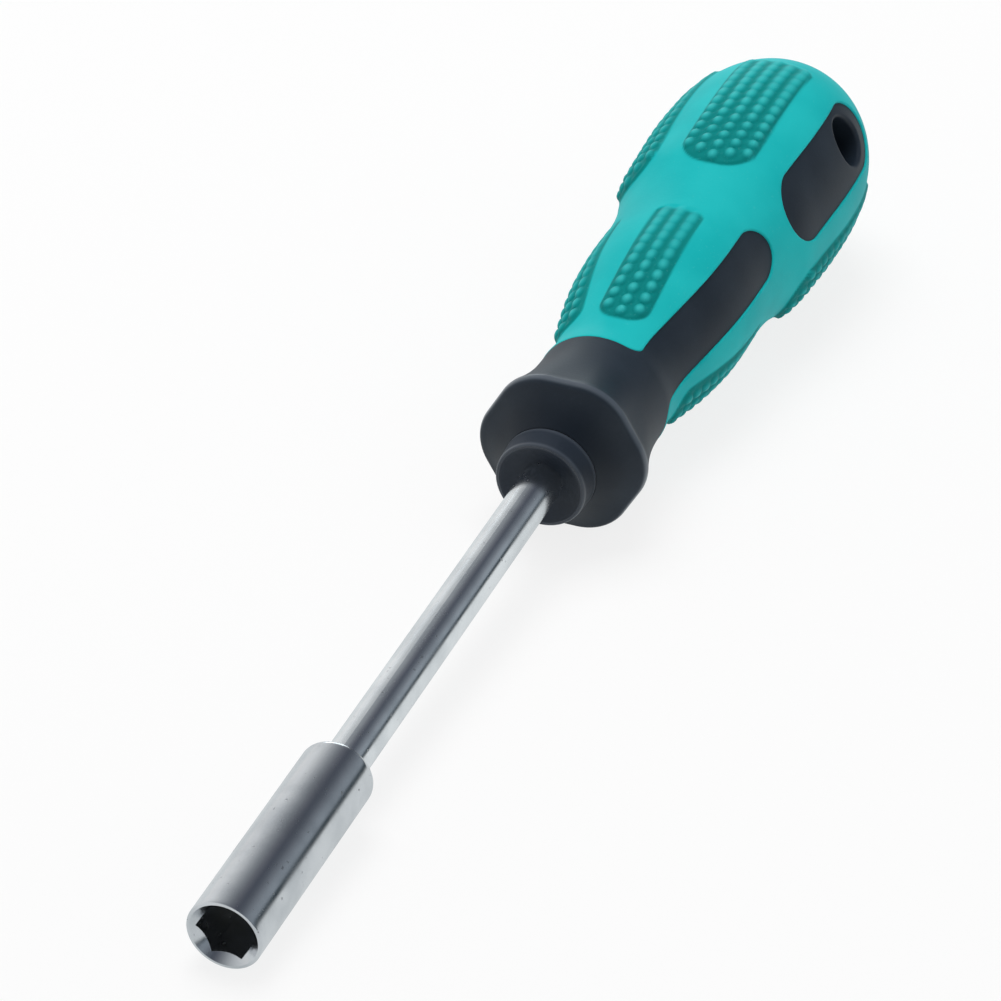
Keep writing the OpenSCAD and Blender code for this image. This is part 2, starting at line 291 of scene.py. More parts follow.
def pad_height(z, y, pad):
    """Height of a pad above the grip's outline, with its shares of painted shade in the troughs and of nub
    top,
    where a highlight is painted: a rounded rectangle with eased walls that stands proud at its front and
    eases down to its rear, and on it nubs on staggered columns, which are domes on ovals along the tool that
    grow together towards the rear."""
    half = pad["length"] / 2
    along = (z - pad["start"]) / pad["length"]
    corner = np.where(along < 0.5, pad["front_r"], PAD_REAR_R)
    qz = np.abs(z - pad["start"] - half) - half + corner
    qy = np.abs(y) - pad["half"] + corner
    edge = np.hypot(np.maximum(qz, 0), np.maximum(qy, 0)) + np.minimum(np.maximum(qz, qy), 0) - corner
    column = np.clip(np.round(y / NUB_COLUMN), -pad["side_columns"], pad["side_columns"])
    first = pad["start"] + NUB_LEAD + np.abs(column) * NUB_PITCH / 2
    last = np.floor((pad["start"] + pad["length"] - NUB_LEAD - first) / NUB_PITCH)
    row = np.clip(np.round((z - first) / NUB_PITCH), 0, last)
    sink = ease((along - PAD_LEVEL) / (1 - PAD_LEVEL))
    fade = 1 - NUB_SINK * sink
    stretch = NUB_STRETCH * (1 + NUB_MERGE * sink)
    apart = np.hypot((z - first - row * NUB_PITCH) / stretch, y - column * NUB_COLUMN)
    nub = np.clip(1 - (apart / NUB_R) ** 2, 0, 1) ** NUB_DOME
    plate = ease(-edge / PAD_WALL)
    height = plate * (PAD_RISE - pad["sink"] * sink + NUB_RISE * fade * nub)
    trough = (1 - TROUGH_SHADE_NUB * nub) * (1 - TROUGH_SHADE_SINK * sink) * ease((1 - along) / TROUGH_SHADE_END)
    return height, ease(TROUGH_SHADE_RIM - edge / PAD_WALL) * trough, plate * nub ** TOP_POWER * fade


def grip_height(z, a):
    """Height of the grip's pads and their shares of painted shade in the troughs and of nub top, where a
    highlight is painted, summed over the front and rear pads of the nearest line of pads."""
    y = sideways(z, a, PAD_TURNS)
    return np.array(pad_height(z, y, FRONT_PAD)) + np.array(pad_height(z, y, REAR_PAD))


def split(z, a, s):
    """Moves the points of a grid that are nearest to the line s = 0 onto it, and sorts triangles by side.

    An edge of the grid that crosses the line is cut at s0 / (s0 - s1) of its length, and its nearer end
    moves there. The diagonal of a cell runs along the line where the line crosses it. The grid closes round
    the tool, and its last row is one point. Returns stations, angles and the triangles above and below 0."""
    best = np.full(z.shape, 0.5)
    new_z, new_a = z.copy(), a.copy()
    on = np.zeros(z.shape, bool)
    for axis in (0, 1):
        for way in (1, -1):
            s2, z2, a2 = (np.roll(v, way, axis) for v in (s, z, a))
            cross = s * s2 < 0
            if axis == 0:
                cross[0 if way == 1 else -1] = False
            t = s / np.where(cross, s - s2, 1)
            near = cross & (t <= best)
            best = np.where(near, t, best)
            new_z = np.where(near, z + t * (z2 - z), new_z)
            new_a = np.where(near, a + t * ((a2 - a + 180) % 360 - 180), new_a)
            on |= near
    side = np.where(on, 0, np.sign(s)).ravel()
    index = np.arange(z.size).reshape(z.shape)
    index[-1] = index[-1, 0]
    p, q = index[:-1], index[1:]
    p1, q1 = np.roll(p, -1, 1), np.roll(q, -1, 1)
    turned = (side[p] * side[q1] < 0)[..., None]
    first = np.where(turned, np.stack([p, p1, q], -1), np.stack([p, p1, q1], -1))
    second = np.where(turned, np.stack([p1, q1, q], -1), np.stack([p, q1, q], -1))
    tri = np.concatenate([first.reshape(-1, 3), second.reshape(-1, 3)])
    tri = tri[(tri[:, 0] != tri[:, 1]) & (tri[:, 1] != tri[:, 2]) & (tri[:, 2] != tri[:, 0])]
    total = side[tri].sum(1)
    total = np.where(total == 0, s.ravel()[tri].mean(1), total)
    return new_z.ravel(), new_a.ravel(), tri[total > 0], tri[total < 0]


def border(tri):
    """Edges that one triangle alone has, in its direction."""
    edges = np.concatenate([tri[:, [0, 1]], tri[:, [1, 2]], tri[:, [2, 0]]])
    low, high = edges.min(1), edges.max(1)
    _, first, count = np.unique(low * (edges.max() + 1) + high, return_index=True, return_counts=True)
    return edges[first[count == 1]]


def strip(edges, rows):
    """Triangles that go on from border edges: rows[k] holds each border point's index in row k."""
    p, q = edges[:, 0], edges[:, 1]
    faces = []
    for one, two in zip(rows[:-1], rows[1:]):
        faces.append(np.stack([one[q], one[p], two[p]], -1))
        faces.append(np.stack([one[q], two[p], two[q]], -1))
    return np.concatenate(faces)


def strip_down(edges, rows, count, end=()):
    """Triangles that go on from border edges through rows of new points, which are numbered from count, and
    on to the rows of indices in end."""
    ids = np.unique(edges)
    new = [count + k * ids.size + np.arange(ids.size) for k in range(len(rows))]
    return strip(np.searchsorted(ids, edges), [ids, *new, *end])


def quarter_round(radius, steps):
    """Pairs of distances across and down on a quarter of a circle, from level to upright."""
    turns = np.radians(np.linspace(0, 90, steps + 1)[1:])
    return np.stack([radius * np.sin(turns), radius * (1 - np.cos(turns))], -1)


def uphill(z, a, distance, step=0.02):
    """Direction along the surface in which a signed distance grows, as steps in station and angle: its
    differences over a small step both ways, scaled to length one."""
    turn = np.degrees(step / grip_radius(z))
    gz = distance(z + step, a) - distance(z - step, a)
    ga = distance(z, a + turn) - distance(z, a - turn)
    size = np.hypot(gz, ga)
    return gz / size, ga / size * turn / step


def soft_grip_grid():
    """Stations and angles of the grip's grid, close together on the pads and wider on the windows. The last
    rows draw together by squares towards the pole of the butt."""
    rows = spaced(
        (LIP_Z, ROW_AT_LIP), (GRIP_Z + 5, ROW_ON_PAD), (GRIP_Z + 33, ROW_ON_PAD), (GRIP_Z + 38, ROW_PLAIN),
        (GRIP_Z + 41, ROW_ON_PAD), (GRIP_Z + 72, ROW_ON_PAD), (GRIP_Z + 74, ROW_PLAIN), (BUTT_Z, ROW_PLAIN),
    )
    pole = BUTT_Z - (BUTT_Z - rows[-POLE_ROWS]) * np.linspace(1, 0, POLE_FINE_ROWS) ** 2
    rows = np.concatenate([rows[:-POLE_ROWS], pole])
    up, low = PAD_TURNS
    half_turn = spaced(
        (up - 25, TURN_ON_PAD), (up + 23, TURN_ON_PAD),
        (WINDOW_TURN - 33, TURN_ON_EDGE), (WINDOW_TURN - 27, TURN_ON_LAND),
        (WINDOW_TURN + 27, TURN_ON_LAND), (WINDOW_TURN + 33, TURN_ON_EDGE),
        (low - 23, TURN_ON_PAD), (low + 23, TURN_ON_PAD),
        (low + 27, TURN_ON_EDGE), (low + 31, TURN_ON_EDGE), (low + 35, TURN_ON_PAD),
    )[:-1]
    return np.meshgrid(rows, np.concatenate([half_turn, half_turn + 180]), indexing="ij")


def soft_grip_mesh():
    """The grip as a closed shell: its outside is the outline raised by the pads' height, trimmed a little
    inside its edge. From there a quarter round runs down to the wall of the windows and of the front, and
    on to an inside at the grip's thickness. Returns points, triangles, the share of painted shade in the
    pads' troughs and the share of nub top, where a highlight is painted."""
    z, a = soft_grip_grid()
    z, a, outside, _ = split(z, a, window_side(z, a) - EDGE_R)
    height, trough, top = grip_height(z, a)
    edges = border(outside)
    ids = np.unique(edges)
    gz, ga = uphill(z[ids], a[ids], window_side)
    wall = [*quarter_round(EDGE_R, steps=6), (EDGE_R, GRIP_T)]
    rows = [grip_point(z[ids] - gz * across, a[ids] - ga * across, -down) for across, down in wall]
    points = np.concatenate([grip_point(z, a, height), grip_point(z, a, -GRIP_T), *rows])
    inside = outside[:, ::-1] + z.size
    faces = np.concatenate([outside, inside, strip_down(edges, rows, 2 * z.size, [ids + z.size])])
    rest = (0, len(points) - z.size)
    return points, faces, np.pad(trough, rest), np.pad(top, rest)


def flange_radius(a):
    """Radius of the flange's rounded hexagon, which has a flat straight up: the flat over the cosine of the
    angle from its middle, or the far crossing with the circle of the corner."""
    turn = np.radians(np.abs(nearest_turn(a, [0.0], 60)))
    reach = (FLANGE_FLAT - FLANGE_CORNER_R) / np.cos(np.radians(30))
    off = np.radians(30) - turn
    corner = reach * np.cos(off) + np.sqrt(FLANGE_CORNER_R ** 2 - (reach * np.sin(off)) ** 2)
    flat = FLANGE_FLAT / np.cos(turn)
    return np.where(np.tan(turn) * FLANGE_FLAT < reach / 2, flat, corner)


def neck_rows(a, face_steps=14, rim_steps=12, neck_steps=20):
    """Stations, radii and share of crest of the flange and neck at each angle, row by row: a dished face, a
    round rim that follows the hexagon, and a parabola down to the neck. The crest is a squared half sine
    over the rim, where it paints a highlight, and eases down on the face, where it is below 0 and paints a
    shade that deepens towards the boss."""
    rim_r = (flange_radius(a) - RIM_INSET - RIM_R)[None]
    rim_z = FLANGE_Z + FLANGE_SLOPE
    turn = np.radians(np.linspace(RIM_FROM, RIM_TO, rim_steps + 1))[:, None]
    t = np.linspace(0, 1, face_steps + 1)[:-1, None]
    face_r = rim_r + RIM_R * np.cos(turn[0])
    face_z = rim_z + RIM_R * np.sin(turn[0])
    z = [FLANGE_Z + (face_z - FLANGE_Z) * t + FLANGE_DISH * 4 * t * (1 - t) + 0 * face_r]
    r = [BOSS_BASE_R + (face_r - BOSS_BASE_R) * t]
    crest = [FACE_SHADE_CREST[0] + (FACE_SHADE_CREST[1] - FACE_SHADE_CREST[0]) * ease(t)]
    z.append(rim_z + RIM_R * np.sin(turn) + 0 * rim_r)
    r.append(rim_r + RIM_R * np.cos(turn))
    crest.append(np.sin(np.linspace(0, np.pi, rim_steps + 1))[:, None] ** 2)
    start_r, start_z = r[-1][-1:], z[-1][-1:]
    t = np.linspace(0, 1, neck_steps + 1)[1:, None]
    z.append(start_z + (rim_z + NECK_SHARE * (LIP_Z - rim_z) - start_z) * t)
    r.append(NECK_R + (start_r - NECK_R) * (1 - t) ** 2)
    crest.append(0 * t)
    return np.concatenate(z), np.concatenate(r), np.repeat(np.concatenate(crest), a.size)


def hang_hole_rows(z, a):
    """Rows of points from the borders of the lands into the hanging hole: a quarter round at each end, then
    one ring half way through, where the two ends meet at whole degrees of the hole's circle."""
    gz, ga = uphill(z, a, hole_side)
    window = WINDOW_TURN + 180 * (np.abs((a - WINDOW_TURN + 180) % 360 - 180) > 90)
    inward = -lay(0, 1, window)
    rows = []
    for across, down in quarter_round(HANG_ROUND, steps=8):
        rows.append(grip_point(z - gz * across, a - ga * across, -GRIP_STEP) + inward * down)
    level = WINDOW_TURN + 90
    turn = np.arctan2(rows[-1] @ lay(0.0, 1.0, level), -rows[-1][:, 0] - HANG_Z)
    turn = np.radians(np.round(np.degrees(turn)))
    rows.append(lay(HANG_Z + HANG_R * np.cos(turn), HANG_R * np.sin(turn), level))
    return rows


def core_cavity(angles, count):
    """Points of a plain turned cavity for the core, numbered from count, and its triangles, which go on to
    the front row of the body."""
    seat_z = FLANGE_Z + CORE_SEAT
    z = np.array([CORE_END, CORE_END, seat_z, seat_z])[:, None]
    r = np.array([0, CORE_R, CORE_R, BOSS_BASE_R])[:, None]
    quads = grid_faces(z.size, angles.size) + count
    last, front = quads[-angles.size:], np.arange(angles.size)
    quads = np.concatenate([quads, np.stack([last[:, 3], last[:, 2], np.roll(front, -1), front], -1)])
    points = lay(z, r, angles[None]).reshape(-1, 3)
    return points, np.concatenate([quads[:, [0, 1, 2]], quads[:, [0, 2, 3]]])


def handle_body_mesh():
    """The body as a closed shell. Its outside is the flange and the neck, then the lands in the windows,
    which lie a step below the grip's outline. Under the grip it lies deeper, with a wall along the grip's
    edge. The hanging hole runs through both rear lands, and the front is open for the core. Returns points,
    triangles and the share of crest."""
    angles = np.arange(0, 360, TURN_STEP)
    front_z, front_r, crest = neck_rows(angles)
    rows = spaced(
        (LIP_Z - 1.4, ROW_ON_NECK), (LIP_Z + 4, ROW_ON_LAND), (HANG_Z - 7, ROW_ON_LAND),
        (HANG_Z - 4, ROW_AT_HOLE), (HANG_Z + 4, ROW_AT_HOLE), (HANG_Z + 8, ROW_ON_LAND),
        (BUTT_Z, ROW_AT_BUTT),
    )
    z = np.concatenate([front_z, np.repeat(rows[:, None], angles.size, 1)])
    a = np.broadcast_to(angles, z.shape)
    side = np.minimum(-window_side(z, a), hole_side(z, a) - HANG_ROUND)
    side[:len(front_z)] = 1
    z, a, top, low = split(z, a, side)
    from_hole = hole_side(z, a)
    low = low[from_hole[low].mean(1) > HANG_ROUND]
    on_neck = np.arange(z.size) < front_z.size
    upper = grip_point(z, a, -grip_step(z))
    upper[z < LIP_Z] = lay(z, NECK_R, a)[z < LIP_Z]
    upper[on_neck] = lay(z[on_neck], front_r.ravel(), a[on_neck])
    lower = grip_point(np.maximum(z, LIP_Z), a, -GRIP_T)
    edges = border(top)
    at_front = np.all(edges < angles.size, 1)
    at_hole = from_hole[edges].mean(1) < HANG_ROUND + HANG_NEAR
    every = np.arange(z.size)
    wall = strip(edges[~at_front & ~at_hole], [every, every + z.size])
    ids = np.unique(edges[at_hole])
    hole = hang_hole_rows(z[ids], a[ids])
    hole_wall = strip_down(edges[at_hole], hole, 2 * z.size)
    cavity, cavity_faces = core_cavity(angles, 2 * z.size + len(hole) * ids.size)
    points = np.concatenate([upper, lower, *hole, cavity])
    faces = np.concatenate([top, low + z.size, wall, hole_wall, cavity_faces])
    return points, faces, np.pad(crest, (0, len(points) - len(crest)))


def grid_faces(rows, columns, closed=False):
    """Four-sided faces of a grid that closes round the tool, and from last row to first if asked."""
    index = np.arange(rows * columns).reshape(rows, columns)
    nxt = np.roll(index, -1, 0)
    p, q = (index, nxt) if closed else (index[:-1], nxt[:-1])
    return np.stack([p, np.roll(p, -1, 1), np.roll(q, -1, 1), q], -1).reshape(-1, 4)


def arc(centre_z, centre_r, radius, start, end, count):
    """Stations and radii on an arc, where angle 0 points away from the axis and 90 towards the handle."""
    t = np.radians(np.linspace(start, end, count))
    return centre_z + radius * np.sin(t), centre_r + radius * np.cos(t)


def hexagon_radius(a):
    """Radius of the socket's hexagon at an angle: half its width over the cosine from a side's middle."""
    return HEX_FLAT / np.cos(np.radians((a - HEX_TURN) % 60 - 30))


def bit_socket_mesh(end_gap=1.0, hex_gap=0.3, hex_end=2.0, lead_from=1.25):
    """The sleeve as one closed turned surface: a bevelled rim, a straight side, a round shoulder, the bar's
    and the magnet's seats, and a bore that is the larger of the hexagon and a lead-in cone."""
    angles = HEX_TURN + np.arange(0, 360, SOCKET_TURN_STEP)
    straight = np.linspace(end_gap, SOCKET_L - SHOULDER_R - end_gap, 12)
    outside = [
        arc(SOCKET_BEVEL, SOCKET_R - SOCKET_BEVEL, SOCKET_BEVEL, -90, 0, count=8),
        (straight, np.full(straight.size, SOCKET_R)),
        arc(SOCKET_L - SHOULDER_R, SOCKET_R - SHOULDER_R, SHOULDER_R, 0, 90, count=12),
        ([SOCKET_L, MAGNET_END, MAGNET_END, HEX_DEPTH], [BAR_SEAT_R, BAR_SEAT_R, MAGNET_R, MAGNET_R]),
    ]
    bore_z = np.concatenate([
        [HEX_DEPTH, HEX_DEPTH - hex_gap],
        np.linspace(HEX_DEPTH - hex_end, hex_end, 6),
        (LEAD_R - HEX_FLAT) * np.linspace(lead_from, 0, 26),
    ])[:, None]
    hex_r = hexagon_radius(angles)[None]
    outside_z, outside_r = (np.concatenate(values)[:, None] for values in zip(*outside))
    z = np.concatenate([outside_z, bore_z])
    r = np.concatenate([outside_r + 0 * hex_r, np.maximum(hex_r, LEAD_R - bore_z)])
    quads = grid_faces(z.size, angles.size, closed=True)
    return lay(z, r, angles[None]).reshape(-1, 3), quads


def inner_core_mesh():
    """The core as one closed turned surface: a rounded nose boss with a hollow round the bar, its seat in
    the flange and a stem, whose radius steps up where its four ribs are. Returns points, faces and the share
    of crest, which is on the boss's two rims and its foot and paints a highlight there."""
    angles = np.arange(0, 360, TURN_STEP)
    seat_z = FLANGE_Z + CORE_SEAT
    rib_end = CORE_END - RIB_BACK
    t = np.linspace(0, 1, 8)[1:]
    bar_seat = [CORE_END, BOSS_Z + HOLLOW_L], [BAR_SEAT_R, BAR_SEAT_R]
    hollow = BOSS_Z + HOLLOW_L * (1 - t ** HOLLOW_POWER), BAR_SEAT_R + (HOLLOW_R - BAR_SEAT_R) * t
    wall = (
        np.linspace(BOSS_Z + WALL_FRONT, FLANGE_Z - WALL_BACK, 6),
        np.linspace(BOSS_R + WALL_FRONT_RISE, BOSS_BASE_R - WALL_BACK_DROP, 6),
    )
    seat = [FLANGE_Z + EDGE_RING, seat_z, seat_z], [BOSS_BASE_R, BOSS_BASE_R, CORE_R]
    ribs = [seat_z + EDGE_RING, rib_end, rib_end + EDGE_RING], [CORE_R, CORE_R, CORE_R]
    tail = [CORE_END - CORE_BEVEL, CORE_END], [CORE_R, CORE_R - CORE_BEVEL]
    parts = [
        (bar_seat, 0),
        (hollow, 0),
        (arc(BOSS_Z + HOLLOW_ROUND, HOLLOW_R + HOLLOW_ROUND, HOLLOW_ROUND, -90, -45, count=3), BOSS_HIGHLIGHT),
        (arc(BOSS_Z + BOSS_ROUND, BOSS_R - BOSS_ROUND, BOSS_ROUND, -90, 0, count=8), BOSS_HIGHLIGHT),
        (wall, 0),
        (arc(FLANGE_Z - FOOT_L, BOSS_BASE_R - FOOT_R, FOOT_R, 0, 45, count=8), BOSS_HIGHLIGHT),
        (seat, 0),
        (ribs, 0),
        (tail, 0),
    ]
    z = np.concatenate([line[0] for line, _ in parts])[:, None]
    r = np.concatenate([line[1] for line, _ in parts])[:, None]
    crest = np.concatenate([np.full(len(line[0]), rub) for line, rub in parts])
    ribbed = (z > seat_z + EDGE_RING / 2) & (z < rib_end + EDGE_RING / 2)
    across = CORE_R * np.abs(np.sin(np.radians(nearest_turn(angles, [RIB_TURN], 90))))
    r = r + RIB_H * ribbed * (across < RIB_HALF)[None]
    quads = grid_faces(z.size, angles.size, closed=True)
    return lay(z, r, angles[None]).reshape(-1, 3), quads, np.repeat(crest, angles.size)


def piece(name, points, faces, node, slot, material, sharp=60.0, **attributes):
    """Makes a mesh piece in metres that stands for a CAD node. Points that coincide are merged, four-sided
    faces that lose a side become triangles, and edges sharper than an angle stay sharp."""
    used = np.unique(faces)
    keys = np.round(points[used] / MERGE).astype(np.int64)
    _, first, back = np.unique(keys, axis=0, return_index=True, return_inverse=True)
    index = np.zeros(len(points), np.int64)
    index[used] = back.ravel()
    faces = index[faces]
    apart = [faces[:, k] != faces[:, k - 1] for k in range(faces.shape[1])]
    kept = [faces[np.all(apart, 0)]]
    if faces.shape[1] == 4:
        for k in range(4):
            lost = ~apart[k] & apart[k - 1] & apart[k - 2] & apart[k - 3]
            kept.append(np.delete(faces[lost], k, 1))
    mesh = bpy.data.meshes.new(name)
    mesh.from_pydata(points[used][first] * MM, [], [face for part in kept for face in part.tolist()])
    mesh.polygons.foreach_set("use_smooth", np.ones(len(mesh.polygons), bool))
    mesh.set_sharp_from_angle(angle=math.radians(sharp))
    for key, values in attributes.items():
        layer = mesh.attributes.new(key, "FLOAT", "POINT")
        layer.data.foreach_set("value", values[used][first].astype(np.float32))
    mesh.materials.append(material)
    made = bpy.data.objects.new(name, mesh)
    bpy.context.scene.collection.objects.link(made)
    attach(made, "root")
    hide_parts(node)


class Socket:
    """A node's output in a shader tree. Sums and products of it add Math nodes."""

    def __init__(self, tree, out=None):
        self.tree = tree
        self.out = out

    def node(self, kind, settings=None, inputs=None, output=0):
        """Adds a node, sets its settings, then the values or links of its sockets, and gives one output."""
        made = self.tree.nodes.new(kind)
        for name, value in (settings or {}).items():
            if name == "stops":
                self.set_stops(made.color_ramp.elements, value)
            else:
                setattr(made, name, value)
        for name, value in (inputs or {}).items():
            if isinstance(value, Socket):
                self.tree.links.new(value.out, made.inputs[name])
            else:
                made.inputs[name].default_value = value
        return Socket(self.tree, made.outputs[output])

    @staticmethod
    def set_stops(elements, stops):
        """Gives a ramp its stops, which are places and colours."""
        while len(elements) < len(stops):
            elements.new(1)
        for element, (place, tone) in zip(elements, stops):
            element.position = place
            element.color = (*tone, 1)

    def math(self, operation, one, two=0.0):
        """A Math node on one or two values."""
        return self.node("ShaderNodeMath", {"operation": operation}, {0: one, 1: two})

    def __add__(self, other):
        return self.math("ADD", self, other)

    __radd__ = __add__

    def __sub__(self, other):
        return self.math("SUBTRACT", self, other)

    def __rsub__(self, other):
        return self.math("SUBTRACT", other, self)

    def __mul__(self, other):
        return self.math("MULTIPLY", self, other)

    __rmul__ = __mul__

    def either(self, other):
        """The larger of two values."""
        return self.math("MAXIMUM", self, other)

    def mix(self, one, two):
        """A colour between two, by this factor."""
        return self.node("ShaderNodeMix", {"data_type": "RGBA"}, {0: self, 6: one, 7: two}, output=2)

    def between(self, low, high):
        """0 to 1 as this value goes from low to high."""
        return self.node("ShaderNodeMapRange", {"interpolation_type": "SMOOTHSTEP"},
                         {"Value": self, "From Min": low, "From Max": high})


def colour(red, green, blue):
    """A colour's linear values from the 0 to 255 that a screen shows, by the sRGB curve."""
    shown = np.array([red, green, blue]) / 255
    linear = np.where(shown <= 0.04045, shown / 12.92, ((shown + 0.055) / 1.055) ** 2.4)
    return (*linear.tolist(), 1.0)


def finish_material(name, **fixed):
    """A new material with its shader, a place to start nodes from and object coordinates."""
    material = bpy.data.materials.new(name)
    material.use_nodes = True
    tree = material.node_tree
    shader = tree.nodes["Principled BSDF"]
    for key, value in fixed.items():
        shader.inputs[key.replace("_", " ")].default_value = value
    start = Socket(tree)
    return material, shader, start, start.node("ShaderNodeTexCoord", output="Object")


def feed(shader, **values):
    """Links values to a shader's sockets."""
    for key, value in values.items():
        value.tree.links.new(value.out, shader.inputs[key.replace("_", " ")])


def share(start, name):
    """A share that the mesh carries on its points."""
    return start.node("ShaderNodeAttribute", {"attribute_name": name}, output="Fac")


def noise(start, place, scale, detail=2.0):
    """Soft noise round a half, in waves per metre."""
    return start.node("ShaderNodeTexNoise", None, {"Vector": place, "Scale": scale, "Detail": detail})


def bump(start, height, distance, strength):
    """A normal that a height tilts, at a distance in metres."""
    inputs = {"Height": height, "Distance": distance, "Strength": strength}
    return start.node("ShaderNodeBump", None, inputs)


# Heights of the finishes' grain, in metres
MOULD_GRAIN = 0.00004
TURNED_GRAIN = 0.000004

# Colours as a screen shows them
TEAL, TEAL_CLOUD = (16, 180, 183), (30, 190, 192)
# Next: painted shade in the pads' troughs, a painted highlight on the nub tops, and random pale specks
TEAL_TROUGH_SHADE, TEAL_NUB_HIGHLIGHT, TEAL_SPECK = (0, 130, 128), (84, 208, 206), (120, 205, 202)
BODY_DARK, CORE_DARK = (30, 40, 51), (32, 40, 51)
SOCKET_BRIGHT, SOCKET_DULLED = (222, 224, 227), (205, 208, 212)
BAR_BRIGHT, BAR_DULLED = (243, 245, 247), (226, 229, 232)
PIT = (90, 92, 96)
NICKEL, NICKEL_PALE = (120, 118, 112), (160, 158, 152)
FLOOR_PALE = (240, 240, 240)


def teal_rubber():
    """Soft teal rubber: fine moulded grain and clouded colour. It is duller in the troughs of the pads, with
    painted shade there, and smoother on the tops of the nubs, with a painted highlight there."""
    material, shader, start, place = finish_material("teal_rubber", Specular_IOR_Level=0.12)
    trough = share(start, "trough")
    top = share(start, "top")
    cloud = noise(start, place, scale=90.0, detail=3.0)
    speck = noise(start, place, scale=2200.0)
    base = cloud.between(0.3, 0.7).mix(colour(*TEAL), colour(*TEAL_CLOUD))
    # Painted shade in the pads' troughs and along their walls
    base = trough.between(0.0, 0.95).mix(base, colour(*TEAL_TROUGH_SHADE))
    # Painted highlight on the tops of the nubs
    base = (top * (0.25 + 0.2 * cloud)).mix(base, colour(*TEAL_NUB_HIGHLIGHT))
    base = (speck.between(0.62, 0.8) * 0.12).mix(base, colour(*TEAL_SPECK))
    rough = 0.46 + 0.1 * cloud + 0.06 * speck + 0.1 * trough - 0.12 * top
    feed(shader, Base_Color=base, Roughness=rough, Normal=bump(start, speck, MOULD_GRAIN, strength=0.35))
    return material


def dark_plastic(name, dark):
    """Hard dark plastic with a spark-eroded grain and clouds of faint grey. Its crests are glossy and
    painted pale, a painted highlight, and it is darker where the crest is below 0, a painted shade."""
    def lifted(by):
        """The dark colour with its three values moved up."""
        return colour(*[value + by for value in dark])

    material, shader, start, place = finish_material(name, Specular_IOR_Level=0.34, Coat_Roughness=0.28)
    crest = share(start, "crest")
    cloud = noise(start, place, scale=120.0, detail=4.0)
    grain = noise(start, place, scale=3200.0)
    crest_highlight = crest.between(0.0, 1.0)
    base = cloud.between(0.3, 0.75).mix(lifted(0), lifted(9))
    base = (grain.between(0.6, 0.8) * 0.25).mix(base, lifted(30))
    # Painted highlight on the crests
    base = (crest_highlight * (0.5 + 0.3 * cloud)).mix(base, lifted(58))
    # Painted shade where the crest is below 0, on the flange's face towards the boss
    base = (crest * -1.0).between(0.0, 1.0).mix(base, lifted(-12))
    rough = 0.42 + 0.14 * cloud + 0.06 * grain - 0.14 * crest_highlight
    feed(shader, Base_Color=base, Roughness=rough, Coat_Weight=0.9 * crest_highlight,
         Normal=bump(start, grain, MOULD_GRAIN, strength=0.3))
    return material


def chrome(name, bright, dulled):
    """Chrome on turned steel: rings too fine to count, small pits and clouds where it is dulled."""
    material, shader, start, place = finish_material(name, Metallic=1.0)
    rings_place = start.node("ShaderNodeMapping", None, {"Vector": place, "Scale": (1.0, 0.03, 0.03)})
    rings = noise(start, rings_place, scale=9000.0)
    cloud = noise(start, place, scale=160.0, detail=4.0)
    pits = noise(start, place, scale=1500.0, detail=1.0).between(0.7, 0.78)
    base = cloud.between(0.35, 0.7).mix(colour(*bright), colour(*dulled))
    base = (pits * 0.35).mix(base, colour(*PIT))
    rough = 0.16 + 0.1 * cloud.between(0.35, 0.75) + 0.25 * pits
    normal = bump(start, rings - 2 * pits, TURNED_GRAIN, strength=0.5)
    feed(shader, Base_Color=base, Roughness=rough, Normal=normal)
    return material


def nickel():
    """Dull nickel of the magnet, with a mottled face."""
    material, shader, start, place = finish_material("dull_nickel", Metallic=1.0)
    cloud = noise(start, place, scale=1200.0, detail=4.0)
    base = cloud.mix(colour(*NICKEL), colour(*NICKEL_PALE))
    feed(shader, Base_Color=base, Roughness=0.3 + 0.25 * cloud)
    return material


# Stage: what the floor and the room show to gloss and to matt surfaces, as linear colours
WHITE = (1, 1, 1, 1)
FLOOR_IN_GLOSS = (0.7, 0.74, 0.75, 1)
FLOOR_GLOW = 0.82
FLOOR_REACH = 3.0
ROOM_SOFT = (0.42, 0.42, 0.42, 1)
# The room that gloss shows, by turns round the tool from straight down by way of -Y: pale up to the
# horizon, darkening to the ceiling, then a paler wall, a dark edge at the horizon and pale again below it
ROOM = (
    (0.0, (0.8, 0.81, 0.81)), (0.26, (0.8, 0.81, 0.81)), (0.32, (0.76, 0.78, 0.79)),
    (0.375, (0.57, 0.59, 0.6)), (0.42, (0.38, 0.4, 0.42)), (0.46, (0.24, 0.26, 0.28)),
    (0.5, (0.145, 0.155, 0.18)), (0.55, (0.07, 0.08, 0.105)), (0.585, (0.1, 0.115, 0.14)),
    (0.62, (0.17, 0.19, 0.22)), (0.66, (0.25, 0.285, 0.32)), (0.7, (0.27, 0.31, 0.35)),
    (0.72, (0.02, 0.035, 0.045)), (0.742, (0.02, 0.035, 0.045)), (0.76, (0.6, 0.62, 0.62)),
)
TOOL_MIDDLE = (-0.11, 0, 0)

# The photograph's camera, in pixels, metres and degrees
FRAME_PX = 1001
FOCAL_PX = 4750
CAMERA_PLACE = (0.3737, 0.18497, 0.34775)
CAMERA_AZIMUTH = -157.996
CAMERA_ELEVATION = -34.669


def ray(start, kind):
    """1 for light that goes to the camera, to gloss or through glass, else 0."""
    return start.node("ShaderNodeLightPath", output="Is " + kind + " Ray")


